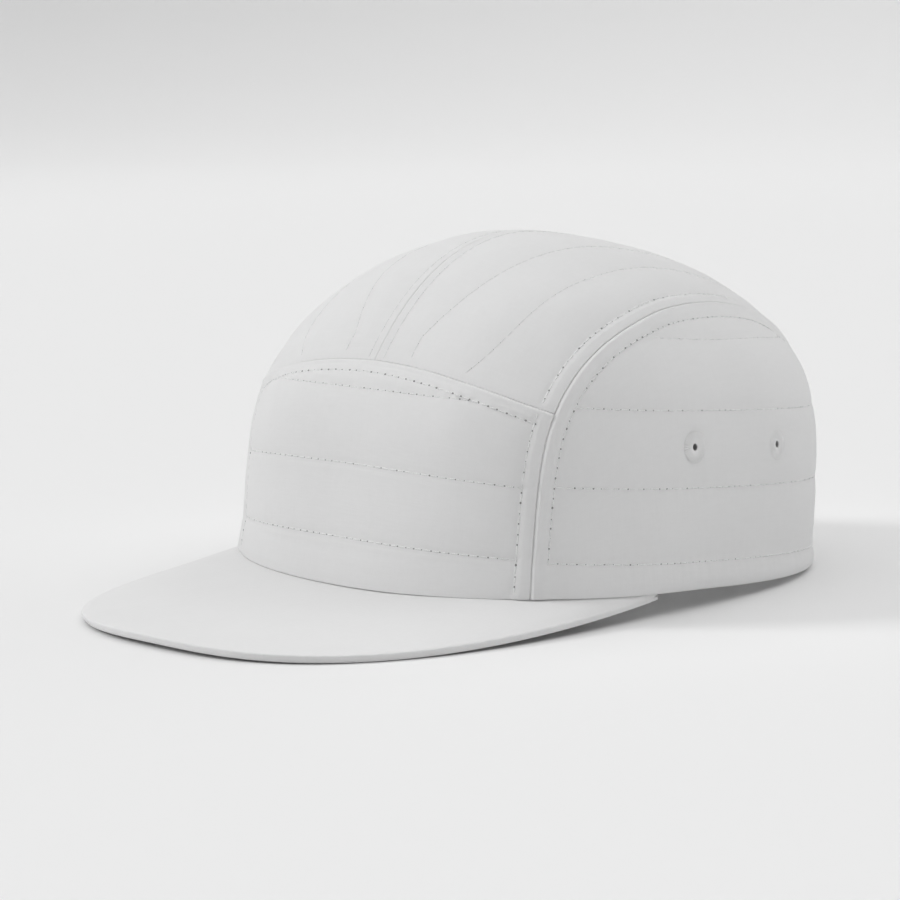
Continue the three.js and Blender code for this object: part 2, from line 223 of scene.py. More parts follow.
def swinging_row(near, swing, start, ease):
    """A quilted row over the top. It starts near the middle and swings out behind the front."""
    def offset(y):
        out = near + swing * (1 - np.exp(-np.maximum(y - start, 0) / ease))
        return out * side_seam_at(y) / side_seam_offset
    return lengthwise_curve(offset)


def lengthwise_curve(offset):
    """Where the crown meets an upright sheet that stands offset(y) from the middle."""
    def curve(turn):
        def place(d):
            y = d * np.cos(turn)
            return stacked(offset(y), y, d * np.sin(turn))
        return meet_crown(place, len(turn))
    return curve


def front_seam_height_at(x):
    return front_seam_height - front_seam_fall * (x / side_seam_offset) ** 2


def front_seam_curve(x):
    return meet_crown(lambda d: stacked(x, -d, front_seam_height_at(x)), len(x))


def row_curve(height, fall=0.0):
    """A row round the crown, lower to the sides by the fall."""
    def curve(direction):
        def place(d):
            x, y = d * np.cos(direction), d * np.sin(direction)
            return stacked(x, y, height - fall * (x / side_seam_offset) ** 2)
        return meet_crown(place, len(direction))
    return curve


def turn_where(curve, height_over, low, high):
    """The turn at which a front to back curve reaches a height, found by halving."""
    for _ in range(46):
        middle = (low + high) / 2
        point = curve(np.array([middle]))
        if point[0, 2] < height_over(point)[0]:
            low = middle
        else:
            high = middle
    return (low + high) / 2


def hem_height_over(point):
    return hem_curve(np.arctan2(point[:, 1], point[:, 0]))[:, 2]


def front_seam_height_over(point):
    return front_seam_height_at(point[:, 0])


def sampled(curve, start, end, shares):
    """Points of a curve at shares of its length."""
    steps = np.linspace(start, end, 400)
    rough = curve(steps)
    lengths = np.concatenate([[0], np.cumsum(np.linalg.norm(np.diff(rough, axis=0), axis=1))])
    return curve(np.interp(np.asarray(shares) * lengths[-1], lengths, steps)), lengths[-1]


BELOW_FRONT, LOW_FRONT, UP, LOW_BACK, BELOW_BACK = (
    1.2 * math.pi, 0.9 * math.pi, 0.5 * math.pi, 0.1 * math.pi, -0.2 * math.pi)
side_seam = lengthwise_curve(side_seam_at)
centre_seam = lengthwise_curve(centre_at)
side_front_hem = turn_where(side_seam, hem_height_over, BELOW_FRONT, LOW_FRONT)
side_corner = turn_where(side_seam, front_seam_height_over, BELOW_FRONT, UP)
side_back_corner = turn_where(
    side_seam, lambda point: np.array([side_arch_back_height]), BELOW_BACK, UP)
side_back_hem = turn_where(side_seam, hem_height_over, BELOW_BACK, LOW_BACK)
centre_back_hem = turn_where(centre_seam, hem_height_over, BELOW_BACK, LOW_BACK)
centre_front = turn_where(centre_seam, front_seam_height_over, BELOW_FRONT, UP)
corner_point = side_seam(np.array([side_corner]))[0]


print("front, top and side panels meet at", np.round(corner_point, 1))

# %% [markdown]
# A panel is a patch between four such curves. The faces are about 1 mm wide in the open and much
# finer along the edges, where the cloth rolls over into the seam. Blending the four edges gives a
# smooth sheet whose rows of faces follow the seams, which a grid dropped over the whole crown
# would not do.

# %% The patch between four edges
def graded(length, rough=cell, fine=0.12, growth=1.3):
    """Shares from 0 to 1 along a length, fine at both ends."""
    steps = [fine]
    while steps[-1] * growth < rough:
        steps.append(steps[-1] * growth)
    count = max(2, math.ceil((length - 2 * sum(steps)) / rough))
    middle = [(length - 2 * sum(steps)) / count] * count
    shares = np.concatenate([[0], np.cumsum(steps + middle + steps[::-1])])
    return shares / shares[-1]


def patch(hem, top, left, right):
    """Each edge is (curve, start, end). hem and top run the same way; left and right go up."""
    across = graded(max(sampled(*hem, [0])[1], sampled(*top, [0])[1]))
    up = graded(max(sampled(*left, [0])[1], sampled(*right, [0])[1]))
    hem_points, hem_length = sampled(*hem, across)
    top_points, _ = sampled(*top, across)
    left_points, left_length = sampled(*left, up)
    right_points, _ = sampled(*right, up)
    u, v = across[:, None, None], up[None, :, None]
    grid = hem_points[:, None] * (1 - v) + top_points[:, None] * v
    grid = grid + left_points[None] * (1 - u) + right_points[None] * u
    grid = grid - (left_points[0] * (1 - u) * (1 - v) + right_points[0] * u * (1 - v)
                   + left_points[-1] * (1 - u) * v + right_points[-1] * u * v)
    inner = (slice(1, -1), slice(1, -1))
    grid[inner] = onto_crown(grid[inner])
    flat = stacked(across[:, None] * hem_length, up[None, :] * left_length)
    return grid, flat


def mirrored(curve):
    return lambda value: curve(value) * np.array([-1, 1, 1])


def direction_of(curve, turn):
    point = curve(np.array([turn]))[0]
    return math.atan2(point[1], point[0])


front_end = direction_of(side_seam, side_front_hem)
back_end = direction_of(side_seam, side_back_hem)
panel_edges = {
    "front_panel": (
        (hem_curve, -math.pi - front_end, front_end),
        (front_seam_curve, -corner_point[0], corner_point[0]),
        (mirrored(side_seam), side_front_hem, side_corner),
        (side_seam, side_front_hem, side_corner)),
    "side_panel": (
        (hem_curve, front_end, back_end),
        (side_seam, side_corner, side_back_corner),
        (side_seam, side_front_hem, side_corner),
        (side_seam, side_back_hem, side_back_corner)),
    "top_panel": (
        (hem_curve, math.pi / 2, back_end),
        (front_seam_curve, 0.0, corner_point[0]),
        (centre_seam, centre_back_hem, centre_front),
        (side_seam, side_back_hem, side_corner)),
}
patches = {name: patch(*edges) for name, edges in panel_edges.items()}
for name, (grid, flat) in patches.items():
    print(name, "has", grid.shape[0] - 1, "by", grid.shape[1] - 1, "faces on each side")

# %% [markdown]
# Rows of thread are sampled every quarter of a millimetre. The same samples are used twice: to
# press a dimple into the cloth, and to lay the stitches into it. There are four kinds: a row beside
# a seam, a quilted row, a faint row that is hardly pressed, and a crease with no thread in it, where
# a quilted row runs on under the folded allowance.

# %% Seams and rows of stitches
def as_line(points):
    lengths = np.concatenate([[0], np.cumsum(np.linalg.norm(np.diff(points, axis=0), axis=1))])
    return {"points": points, "length": lengths}


def line(curve, start, end, spacing=0.25):
    _, length = sampled(curve, start, end, [0])
    points, _ = sampled(curve, start, end, np.linspace(0, 1, int(length / spacing) + 2))
    return as_line(points)


def beside(seam, towards, distance, trim=0.0, keep=None):
    """A row moved over the cloth from a seam, to the side that a vector points to.
    The distance is one number, or one for each point of the seam."""
    points = seam["points"]
    along = np.gradient(points, axis=0)
    along /= np.linalg.norm(along, axis=1, keepdims=True)
    across = np.cross(crown_normals(points), along)
    across *= np.sign((across @ np.asarray(towards, float)))[:, None]
    row = onto_crown(points + across * np.reshape(distance, (-1, 1)))
    kept = (seam["length"] >= trim) & (seam["length"] <= seam["length"][-1] - trim)
    if keep is not None:
        kept &= keep(row)
    return as_line(row[kept])


def other_side(item):
    return as_line(item["points"] * np.array([-1, 1, 1]))


seams = {
    "side_front": line(side_seam, side_front_hem, side_corner),
    "side_arch": line(side_seam, side_corner, side_back_hem),
    "front": line(front_seam_curve, -corner_point[0], corner_point[0]),
    "centre": line(centre_seam, centre_front, centre_back_hem),
}
whole_side_seam = line(side_seam, side_front_hem, side_back_hem)


def between(curve, start, end, keep):
    """The stretch of a curve where keep says yes."""
    points = line(curve, start, end)["points"]
    return as_line(points[keep(points)])


def on_front(points):
    below_seam = front_seam_height_at(points[:, 0]) - points[:, 2] > front_allowance - 0.6
    beside_seam = np.abs(points[:, 0]) < side_seam_at(points[:, 1]) - 3.6
    return (points[:, 1] < 0) & below_seam & beside_seam


def on_side(points):
    return points[:, 0] > side_seam_at(points[:, 1]) + 4.4


def above_hem_row(points):
    return points[:, 2] > side_rows[0]


def side_row_distance(points):
    share = np.clip((points[:, 1] + 40) / 80, 0, 1)
    return side_allowance + side_allowance_growth * share * share * (3 - 2 * share)


def above_front_seam(point):
    return front_seam_height_at(point[:, 0]) + 3.4


front_row_curves = [row_curve(height, fall) for height, fall in front_rows]
side_row_curves = [row_curve(height) for height in side_rows]
top_rows = [(row, turn_where(row, above_front_seam, BELOW_FRONT, UP)) for row in (
    swinging_row(near=14.6, swing=14.2, start=-68, ease=23),
    swinging_row(near=37, swing=7.6, start=-70, ease=8))]
panel_rows = {
    "front_panel": {
        "seam": [
            beside(seams["front"], (0, 0, -1), front_allowance, trim=5.0),
            beside(seams["side_front"], (-1, 0, 0), front_allowance, trim=2.0),
            beside(other_side(seams["side_front"]), (1, 0, 0), front_allowance, trim=2.0),
        ],
        "quilt": [
            between(curve, -math.pi + 0.5, -0.5, on_front) for curve in front_row_curves
        ],
        "faint": [],
        "crease": [line(curve, -math.pi + 0.5, -0.5) for curve in front_row_curves],
    },
    "side_panel": {
        "seam": [beside(whole_side_seam, (1, 0, -0.6),
                        side_row_distance(whole_side_seam["points"]), keep=above_hem_row)],
        "quilt": [between(curve, -1.0, 1.4, on_side) for curve in side_row_curves[:3]],
        "faint": [between(side_row_curves[3], -1.0, 1.4, on_side)],
        "crease": [line(curve, -1.0, 1.5) for curve in side_row_curves],
    },
    "top_panel": {
        "seam": [beside(seams["side_arch"], (-1, 0, 0.6), top_allowance, trim=2.0)],
        "quilt": [],
        "faint": [
            beside(seams["centre"], (1, 0, 0), centre_allowance, trim=2.0),
            *(line(row, start, centre_back_hem + 0.03) for row, start in top_rows),
        ],
        "crease": [],
    },
}
for name, kinds in panel_rows.items():
    total = sum(row["length"][-1] for rows in kinds.values() for row in rows)
    print(name, "has", round(total), "mm of stitched rows")

# %% [markdown]
# The relief is what makes it read as sewn cloth. Along a seam the cloth rolls down into a groove.
# Beside it the folded allowance lifts the surface as far as the row of stitches, which pulls it in
# again. Quilted rows press a soft valley, with the cloth swelling between them. Thread gathers
# cloth a little, so small puckers run across each row, and wide, shallow waves keep a panel from
# looking machined. All of it is real geometry, worked out from the distance to the nearest line.

# %% Which edge lies on top at each seam
both_side_fronts = [seams["side_front"], other_side(seams["side_front"])]
no_lip, full_lip = 0.0, 0.42           # the small swelling of a folded edge just beside its seam
panel_seams = {                        # lines, edge, width and rise of the allowance, lip
    "front_panel": [(both_side_fronts, tucked_edge, front_allowance, 0.6, no_lip),
                    ([seams["front"]], folded_edge, front_allowance, 0.8, full_lip)],
    "side_panel": [([whole_side_seam], folded_edge, side_allowance, 0.55, full_lip)],
    "top_panel": [([seams["side_arch"]], tucked_edge, top_allowance, 0.5, no_lip),
                  ([seams["front"]], tucked_edge, pressed_allowance, 0.14, no_lip),
                  ([seams["centre"]], open_edge, centre_allowance, 0.2, no_lip)],
}

# %% Relief of the sewn cloth
def smooth(value, start, end):
    share = np.clip((value - start) / (end - start), 0, 1)
    return share * share * (3 - 2 * share)


def rolled(distance, radius, depth):
    """How far a rolled edge has sunk at a distance from the edge."""
    share = np.clip(distance / radius, 0, 1)
    return depth * (1 - np.sqrt(np.clip(1 - (1 - share) ** 2, 0, 1)))


def nearest(points, lines):
    """Distance to the nearest of some lines, and the place along them."""
    if not lines:
        return np.full(len(points), 99.0), np.zeros(len(points))
    all_points = np.concatenate([item["points"] for item in lines])
    starts = np.cumsum([0] + [item["length"][-1] + 40 for item in lines[:-1]])
    places = np.concatenate([item["length"] + start for item, start in zip(lines, starts)])
    tree = kdtree.KDTree(len(all_points))
    for index, point in enumerate(all_points):
        tree.insert(point, index)
    tree.balance()
    found = [tree.find(point) for point in points]
    indices = np.array([item[1] for item in found])
    return np.array([item[2] for item in found]), places[indices]


def pucker(place, seed):
    """A wavering number between -1 and 1 along a row, the same on each run."""
    bend = 1.7 * np.sin(2 * math.pi * place / 23.0 + seed)
    fine = np.sin(2 * math.pi * place / 5.3 + bend)
    return 0.65 * fine + 0.35 * np.sin(2 * math.pi * place / 3.1 + 2.1 * bend + seed)


def waves(points, wavelengths, amount, seed):
    """Soft waves from a few directions, for cloth that was handled."""
    random = np.random.default_rng(seed)
    total = np.zeros(len(points))
    for wavelength in wavelengths:
        direction = random.normal(size=3)
        direction /= np.linalg.norm(direction)
        total += np.sin(2 * math.pi * (points @ direction) / wavelength + random.uniform(0, 6.28))
    return amount * total / math.sqrt(len(wavelengths))


WIDE_WAVES = (34.0, 43.0, 52.0, 67.0, 88.0)   # wavelengths
SMALL_WAVES = (7.0, 9.5, 12.0, 15.0, 19.0)
LONG_DRAGS = (26.0, 31.0)
wide_wave_height, small_wave_height, drag_height = 0.34, 0.03, 0.10
swelling = 0.20                        # of the cloth between two quilted rows
groove, dip = (0.26, 0.9), (0.08, 3.2)  # depth and half width of a quilted row, fine and wide
top_row_share = 0.45                   # the rows over the top are hardly pressed
crease = (0.12, 0.8)
seam_row = (0.45, 0.8)
quilt_gathers, seam_gathers = 0.085, 0.16
hem_band_rise = 0.22                   # below the lowest row the cloth is double


def furrow(distance, depth, half_width):
    return -depth * np.exp(-((distance / half_width) ** 2))


def hem_turned_in(points, above_hem):
    """The lower edge is rolled in, more where it hangs free of the peak."""
    free = smooth(points[:, 1], -40.0, 0.0)
    held = rolled(above_hem, *hem_roll)
    return held * (1 - free) + rolled(above_hem, *free_hem_roll) * free


def fullness(points):
    """The front panel is pushed out a little just below its top band."""
    x, height = np.abs(points[:, 0]) / side_seam_offset, points[:, 2]
    below_seam = front_seam_height_at(points[:, 0]) - height
    return front_fullness * smooth(-below_seam, -42, -9) * smooth(below_seam, 0.5, 6) * (
        1 - smooth(x, 0.55, 1.0))


def relief(points, name, seed):
    """How far each point of a panel stands out from the smooth crown, outside and inside."""
    rows = panel_rows[name]
    to_seam = np.full(len(points), 99.0)
    sunk, band = np.zeros(len(points)), np.zeros(len(points))
    for lines, (radius, depth), width, rise, lip in panel_seams[name]:
        apart, _ = nearest(points, lines)
        to_seam = np.minimum(to_seam, apart)
        sunk = np.maximum(sunk, rolled(apart, radius, depth))
        risen = rise * (1 - smooth(apart, width - 1.3, width + 0.9))
        band = np.maximum(band, risen + lip * np.exp(-(((apart - 1.2) / 0.8) ** 2)))
    to_row, place_row = nearest(points, rows["seam"])
    to_quilt, place_quilt = nearest(points, rows["quilt"] + rows["faint"])
    to_crease, _ = nearest(points, rows["crease"])
    above_hem = points[:, 2] - hem_curve(np.arctan2(points[:, 1], points[:, 0]))[:, 2]
    above_hem = np.where(points[:, 2] < 40, above_hem, 99)

    wide = waves(points, WIDE_WAVES, wide_wave_height, seed)
    wide += waves(points, SMALL_WAVES, small_wave_height, seed + 1)
    drags = waves(points * np.array([1, 1, 0.45]), LONG_DRAGS, drag_height, seed + 2)
    calm = smooth(np.minimum(to_seam, above_hem), 0.0, 12.0)
    shape = (wide + drags) * calm
    shape += swelling * smooth(to_quilt, 0.0, 9.0) * calm
    if name == "front_panel":
        shape += fullness(points)
    valley = furrow(to_quilt, *groove) + furrow(to_quilt, *dip)
    if name == "top_panel":
        valley *= top_row_share
    gathers = quilt_gathers * pucker(place_quilt, seed) * np.exp(-to_quilt / 3.0)
    fade = smooth(to_seam, 0.3, 1.6)
    fine = (valley + gathers + furrow(to_crease, *crease)) * fade
    fine += band
    fine += furrow(to_row, *seam_row)
    fine += seam_gathers * pucker(place_row, seed + 5) * np.exp(-to_row / 2.0) * fade
    fine += hem_band_rise * (1 - smooth(above_hem, side_rows[0] - 0.6, side_rows[0] + 1.4))
    fine += hem_flare * (1 - smooth(above_hem, 0.0, side_rows[0] + 1.0))
    fine -= sunk
    fine -= hem_turned_in(points, above_hem)
    return shape + fine, shape + 0.35 * fine * smooth(to_seam, 0.0, 2.0)


# %% [markdown]
# One function turns a patch into a closed piece of cloth. The outside and the inside are the same
# grid, one wall apart, joined round the rim. The right-hand panels are the left-hand ones turned
# over, but with relief of their own, because no two sewn panels pucker alike. The flat pattern is
# kept as a UV map in metres, so that the weave runs straight along each piece.

# %% Cloth from a patch
def in_scene(name, data):
    item = bpy.data.objects.new(name, data)
    bpy.context.scene.collection.objects.link(item)
    return item


def middle_face(grid):
    """Where the middle face of a grid is, and the way it looks."""
    u, v = grid.shape[0] // 2, grid.shape[1] // 2
    facing = np.cross(grid[u + 1, v] - grid[u, v], grid[u, v + 1] - grid[u, v])
    return grid[u, v], facing


def cloth_mesh(name, outside, inside, flat, material, holes=(), flip=False):
    """A closed mesh from two matching grids in millimetres. holes are (centre, radius)."""
    count_u, count_v = outside.shape[:2]
    points = np.concatenate([outside.reshape(-1, 3), inside.reshape(-1, 3)])
    index = np.arange(count_u * count_v).reshape(count_u, count_v)
    quads = np.stack([index[:-1, :-1], index[1:, :-1], index[1:, 1:], index[:-1, 1:]], -1)
    quads = quads.reshape(-1, 4)
    centres = points[quads].mean(1)
    kept = np.ones(len(quads), bool)
    for centre, radius in holes:
        kept &= np.linalg.norm(centres - centre, axis=1) > radius
    quads = quads[kept]
    edges = np.concatenate([quads[:, [n, (n + 1) % 4]] for n in range(4)])
    pairs = {(a, b) for a, b in edges.tolist()}
    rim = np.array([(a, b) for a, b in pairs if (b, a) not in pairs])
    below = count_u * count_v
    walls = np.stack([rim[:, 1], rim[:, 0], rim[:, 0] + below, rim[:, 1] + below], -1)
    faces = np.concatenate([quads, quads[:, ::-1] + below, walls])
    if flip:
        faces = faces[:, ::-1]
    mesh = bpy.data.meshes.new(name)
    mesh.from_pydata((points * MM).tolist(), [], faces.tolist())
    layer = mesh.uv_layers.new(name="flat")
    places = np.concatenate([flat.reshape(-1, 2), flat.reshape(-1, 2)]) * MM
    corners = np.empty(len(mesh.loops), int)
    mesh.loops.foreach_get("vertex_index", corners)
    layer.data.foreach_set("uv", places[corners].ravel())
    mesh.shade_smooth()
    mesh.update()
    mesh.materials.append(material)
    return in_scene(name, mesh)


def worn_by(item, node):
    """Hides the solid that a piece stands for and hangs the piece under the root."""
    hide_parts(node)
    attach(item, "root")
    print(item.name, "has", len(item.data.polygons), "faces and replaces", node)


# %% [markdown]
# The cloth is cotton in a plain weave, washed and matt: threads about 0.4 mm apart go over and under
# each other. At this distance the eye gets no single thread, only a dry, even surface with a faint
# grain. A regular pattern this fine would shimmer, so the weave is two noises drawn out along the
# warp and the weft, a little coarser than the real threads. Sheen stands for the fine fibres that
# catch light at the edges. White cotton this thin also lets light through, so each face of a panel
# is part translucent: it glows a little from behind, and the floor under the cap isn't black.
# Thread is smoother than cloth and shines a little.

# %% A helper for nodes and colours
def linear(hex_colour):
    """Turns an sRGB hex colour into the linear numbers that shaders use."""
    channels = [int(hex_colour[n:n + 2], 16) / 255 for n in (1, 3, 5)]
    return [c / 12.92 if c <= 0.04045 else ((c + 0.055) / 1.055) ** 2.4 for c in channels] + [1.0]


def add_node(tree, kind, inputs=None, **settings):
    """Adds a node. inputs maps a socket to a value, or to the output socket that feeds it."""
    node = tree.nodes.new(kind)
    for name, value in settings.items():
        setattr(node, name, value)
    for socket, value in (inputs or {}).items():
        if isinstance(value, bpy.types.NodeSocket):
            tree.links.new(value, node.inputs[socket])
        else:
            node.inputs[socket].default_value = value
    return node


def empty_material(name):
    material = bpy.data.materials.new(name)
    material.use_nodes = True
    material.node_tree.nodes.clear()
    return material, material.node_tree


# %% Woven cotton
def threads_along(tree, flat, axis, width, length):
    """Noise drawn out along one direction of the flat pattern, like threads side by side."""
    scale = [1 / (width * MM)] * 3
    scale[axis] = 1 / (length * MM)
    stretched = add_node(tree, "ShaderNodeVectorMath", {0: flat, 1: scale}, operation="MULTIPLY")
    noise = add_node(tree, "ShaderNodeTexNoise", {
        "Vector": stretched.outputs[0], "Scale": 1.0, "Detail": 1.0, "Roughness": 0.5})
    return noise.outputs[0]


def woven_cotton(name, colour, shade=0.03, bumpiness=0.3, thread=0.55, run=7.0, through=0.0):
    """Plain weave on the piece's own flat pattern, with a matt, slightly furry surface.
    thread and run are its width and how far it shows, in millimetres. through is the share
    of the light that goes on into the cloth at each of its two faces."""
    material, tree = empty_material(name)
    flat = add_node(tree, "ShaderNodeUVMap", uv_map="flat").outputs[0]
    place = add_node(tree, "ShaderNodeTexCoord").outputs["Object"]
    warp = threads_along(tree, flat, 0, thread, run)
    weft = threads_along(tree, flat, 1, thread, run)
    weave = add_node(tree, "ShaderNodeMath", {0: warp, 1: weft}, operation="ADD").outputs[0]
    fuzz = add_node(tree, "ShaderNodeTexNoise", {
        "Vector": place, "Scale": 1 / (1.6 * MM), "Detail": 3.0, "Roughness": 0.6}).outputs[0]
    clouds = add_node(tree, "ShaderNodeTexNoise", {
        "Vector": place, "Scale": 1 / (16 * MM), "Detail": 2.0, "Roughness": 0.5}).outputs[0]
    lift = add_node(tree, "ShaderNodeMath", {0: weave, 1: fuzz}, operation="ADD").outputs[0]
    bump = add_node(tree, "ShaderNodeBump", {
        "Height": lift, "Strength": bumpiness, "Distance": 0.07 * MM}).outputs[0]
    # The tint is darker in random clouds, which are the cloth's own tone, and where the weave and
    # fuzz sit low: painted shade between the threads.
    clouds_and_groove_shade = add_node(tree, "ShaderNodeMath", {0: clouds, 1: lift}, operation="ADD").outputs[0]
    range_of_tint = add_node(tree, "ShaderNodeMapRange", {
        "Value": clouds_and_groove_shade, "From Min": 1.4, "From Max": 2.6}).outputs[0]
    light, dark = linear(colour), [c * (1 - shade) for c in linear(colour)[:3]] + [1.0]
    tint = add_node(tree, "ShaderNodeMix", {
        "Factor": range_of_tint, 6: dark, 7: light}, data_type="RGBA").outputs[2]
    rough = add_node(tree, "ShaderNodeMapRange", {
        "Value": fuzz, "To Min": 0.82, "To Max": 0.95}).outputs[0]
    surface = add_node(tree, "ShaderNodeBsdfPrincipled", {
        "Base Color": tint, "Roughness": rough, "Normal": bump, "IOR": 1.5,
        "Specular IOR Level": 0.25, "Sheen Weight": 0.15, "Sheen Roughness": 0.5}).outputs[0]
    if through:
        glow = add_node(tree, "ShaderNodeBsdfTranslucent", {
            "Color": tint, "Normal": bump}).outputs[0]
        surface = add_node(tree, "ShaderNodeMixShader", {
            0: through, 1: surface, 2: glow}).outputs[0]
    add_node(tree, "ShaderNodeOutputMaterial", {"Surface": surface})
    return material


# %% Sewing thread
def spun_thread(name, colour, twist_spacing=0.5):
    """Polyester thread: the twist of its strands is a fine slanting band."""
    material, tree = empty_material(name)
    place = add_node(tree, "ShaderNodeTexCoord")
    # a wave repeats every 0.2 pi over its scale, measured along the sum of the three axes
    scale = 0.2 * math.pi / (twist_spacing * MM * math.sqrt(3))
    strands = add_node(tree, "ShaderNodeTexWave", {
        "Vector": place.outputs["Object"], "Scale": scale, "Distortion": 1.5,
        "Detail": 1.0}, bands_direction="DIAGONAL")
    bump = add_node(tree, "ShaderNodeBump", {
        "Height": strands.outputs[1], "Strength": 0.4, "Distance": 0.04 * MM})
    # The thread is a tenth darker where the twist's bump sits low: painted shade in the grooves
    # between strands.
    tint = add_node(tree, "ShaderNodeMix", {
        "Factor": strands.outputs[1], 6: [c * 0.9 for c in linear(colour)[:3]] + [1.0],
        7: linear(colour)}, data_type="RGBA")
    surface = add_node(tree, "ShaderNodeBsdfPrincipled", {
        "Base Color": tint.outputs[2], "Roughness": 0.55, "Normal": bump.outputs[0], "IOR": 1.5,
        "Specular IOR Level": 0.4, "Sheen Weight": 0.1})
    add_node(tree, "ShaderNodeOutputMaterial", {"Surface": surface.outputs[0]})
    return material


panel_cotton = woven_cotton("washed plain weave cotton", "#f9f9f9", through=0.32)
peak_cotton = woven_cotton("plain weave cotton over board", "#e2e2e2", bumpiness=0.25)
eyelet_thread = spun_thread("embroidery thread", "#ececec")
seam_thread = spun_thread("polyester sewing thread", "#ececec")
# This dark thread material is painted shade. It fills the needle holes and the walls of the eyelet
# holes.
hole_shade = spun_thread("painted shade in the holes", "#8c8c8c")
print("materials:", ", ".join(m.name for m in bpy.data.materials))

# %% [markdown]
# Now the five panels. The side panels get two round holes each, hidden under the sewn eyelets, and
# the cloth is pulled in a little around them.

# %% Eyelet places
def eyelet_place(offset):
    place = meet_crown(lambda d: stacked(d, offset, eyelet_height), 1)[0]
    return place, crown_normals(place[None])[0]


eyelet_places = {end: eyelet_place(offset) for end, offset in eyelet_offsets.items()}


def pulled_in(points):
    """The cloth round each eyelet is drawn in by its thread."""
    sunk = np.zeros(len(points))
    for place, _ in eyelet_places.values():
        ring = np.linalg.norm(points - place, axis=1)
        around = np.arctan2(points[:, 2] - place[2], points[:, 1] - place[1])
        star = 1 + 0.25 * np.sin(7 * around) + 0.15 * np.sin(11 * around + 1)
        sunk -= 0.12 * np.exp(-(((ring - eyelet_radius) / 1.3) ** 2)) * star
        sunk -= 0.12 * np.exp(-((ring / 9.0) ** 2))
    return sunk


# %% Front, side and top panels
def sew_panel(name, side, seed):
    """side is 1 for the wearer's left, -1 for the right and 0 for the one in the middle."""
    grid, flat = patches[name]
    points = grid.reshape(-1, 3)
    outer, inner = relief(points, name, seed)
    holes = []
    if name == "side_panel":
        outer = outer + pulled_in(points)
        holes = [(standing(place), cut_hole_radius) for place, _ in eyelet_places.values()]
    normals = crown_normals(points)
    above_hem = points[:, 2] - hem_curve(np.arctan2(points[:, 1], points[:, 0]))[:, 2]
    fold = hem_fold * np.exp(-((np.maximum(above_hem, 0) / hem_fold_height) ** 4))
    outside = points + normals * outer[:, None]
    inside = points + normals * (inner - wall - fold)[:, None]
    low = np.isclose(points[:, 2], floor_height(points[:, 1]), atol=1e-6)
    for rows in (outside, inside):
        rows[low, 2] = floor_height(rows[low, 1])
    outside, inside = standing(outside), standing(inside)
    turn = np.array([-1 if side < 0 else 1, 1, 1])
    outside, inside = outside * turn, inside * turn
    holes = [(centre * turn, radius) for centre, radius in holes]
    outside, inside = outside.reshape(grid.shape), inside.reshape(grid.shape)
    place, facing = middle_face(outside)
    looks_in = bool(facing @ (place - np.array([0, middle_of_head, 40.0])) < 0)
    title = {1: f"{name}_left", -1: f"{name}_right", 0: name}[side]
    cloth = cloth_mesh(f"{title}_cloth", outside, inside, flat, panel_cotton, holes, looks_in)
    worn_by(cloth, title)
    return cloth


panel_list = [("front_panel", 0, 11), ("side_panel", 1, 23), ("side_panel", -1, 37),
              ("top_panel", 1, 41), ("top_panel", -1, 59)]
panels = [sew_panel(*panel) for panel in panel_list]

# %% [markdown]
# The peak is a board between two layers of the same cloth, turned and pressed at the edge. Its top
# and bottom are one grid again: from inside the crown's lower edge out to the rim, where both
# surfaces roll together, with small puckers where the cloth is turned. Where it would dip under the
# floor it is flat, because it rests there.

# %% The peak
peak_mesh_length = 76.0                # about how far the peak reaches; it only spaces the mesh


def peak_grids(stations=300):
    """The middle layer from under the hem out to the rim, how far each point is from the rim,
    and how thick the peak is along it. Its stations lie closer together towards both ends."""
    end_direction = -math.asin(peak_end_offset / math.hypot(peak_end_offset, peak_half_width))
    share = np.linspace(0, 1, stations)
    share = share - 0.35 * np.sin(2 * math.pi * share) / (2 * math.pi)
    direction = -math.pi - end_direction + share * (math.pi + 2 * end_direction)
    hem = hem_curve(direction)
    normals = crown_normals(hem)
    root = standing(hem)
    inner = standing(hem - normals * peak_allowance)
    sweep = math.pi * (1 - share)
    power = 2 / peak_squareness
    across = np.sign(np.cos(sweep)) * np.abs(np.cos(sweep)) ** power
    ahead = np.abs(np.sin(sweep)) ** power
    edge_y = -peak_end_offset - (peak_length - peak_end_offset) * ahead
    edge_z = peak_root_height + peak_slope * (edge_y + crown_front_length) - peak_arch * across ** 2
    edge = stacked(peak_half_width * across, edge_y + middle_of_head, edge_z)
    root[:, 2] -= peak_seat_gap
    inner[:, 2] -= peak_seat_gap
    out_share = graded(peak_mesh_length, fine=0.12)
    under = np.array([0, 0.35, 0.7])
    out_share, under = out_share[None, :, None], under[None, :, None]
    body = root[:, None] * (1 - out_share) + edge[:, None] * out_share
    tucked = inner[:, None] * (1 - under) + root[:, None] * under
    middle = np.concatenate([tucked, body], axis=1)
    to_rim = np.concatenate([np.full(tucked.shape[:2], 99.0),
                             np.linalg.norm(edge[:, None] - body, axis=2)], axis=1)
    thin = peak_end_thickness + (peak_thickness - peak_end_thickness) * np.sin(
        math.pi * share) ** peak_end_taper
    return middle, to_rim, thin[:, None]


